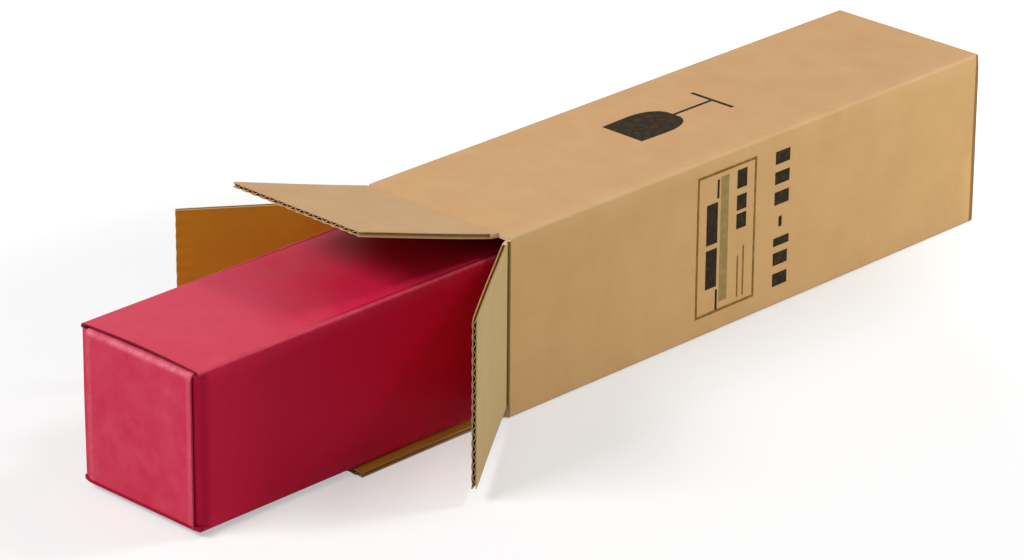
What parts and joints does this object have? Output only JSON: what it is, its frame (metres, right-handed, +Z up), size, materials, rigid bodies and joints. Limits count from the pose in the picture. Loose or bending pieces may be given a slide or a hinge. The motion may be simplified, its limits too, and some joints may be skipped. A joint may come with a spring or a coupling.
{
  "type": "bottle shipping box",
  "caption": "Long square box of kraft corrugated board, lying with its mouth flaps open and a coated inner bottle carton with a tuck lid drawn part of the way out.",
  "frame": {"origin": "centre of the shipping box's bottom face, on the surface that it lies on", "axes": "+X along the box from its open mouth to its closed end, +Z up; the side on the left of someone facing the mouth is +Y"},
  "size_m": [0.5988, 0.2267, 0.1344],
  "materials": {
    "kraft_board": "matte",
    "coated_board": "satin"
  },
  "bodies": {
    "box": {"outer_box": "kraft_board"},
    "top_flap": {"top_flap": "kraft_board"},
    "right_flap": {"right_flap": "kraft_board"},
    "left_flap": {"left_flap": "kraft_board"},
    "carton": {"inner_carton": "coated_board"},
    "lid": {"carton_lid": "coated_board"}
  },
  "joints": [
    {"name": "top_flap_fold", "type": "hinge", "parent": "box", "child": "top_flap", "pos_m": [-0.194, 0, 0.1025], "axis": [0, 1, 0], "range_deg": [-22, 115]},
    {"name": "right_flap_fold", "type": "hinge", "parent": "box", "child": "right_flap", "pos_m": [-0.194, -0.0515, 0.052], "axis": [0, 0, 1], "range_deg": [-37, 96]},
    {"name": "left_flap_fold", "type": "hinge", "parent": "box", "child": "left_flap", "pos_m": [-0.194, 0.0515, 0.052], "axis": [0, 0, -1], "range_deg": [-36, 95]},
    {"name": "carton_slide", "type": "slide", "parent": "box", "child": "carton", "axis": [-1, 0, 0], "range_m": [-0.2145, 0.27]},
    {"name": "lid_fold", "type": "hinge", "parent": "carton", "child": "lid", "pos_m": [-0.40405, 0, 0.00405], "axis": [0, -1, 0], "range_deg": [0, 90]}
  ]
}
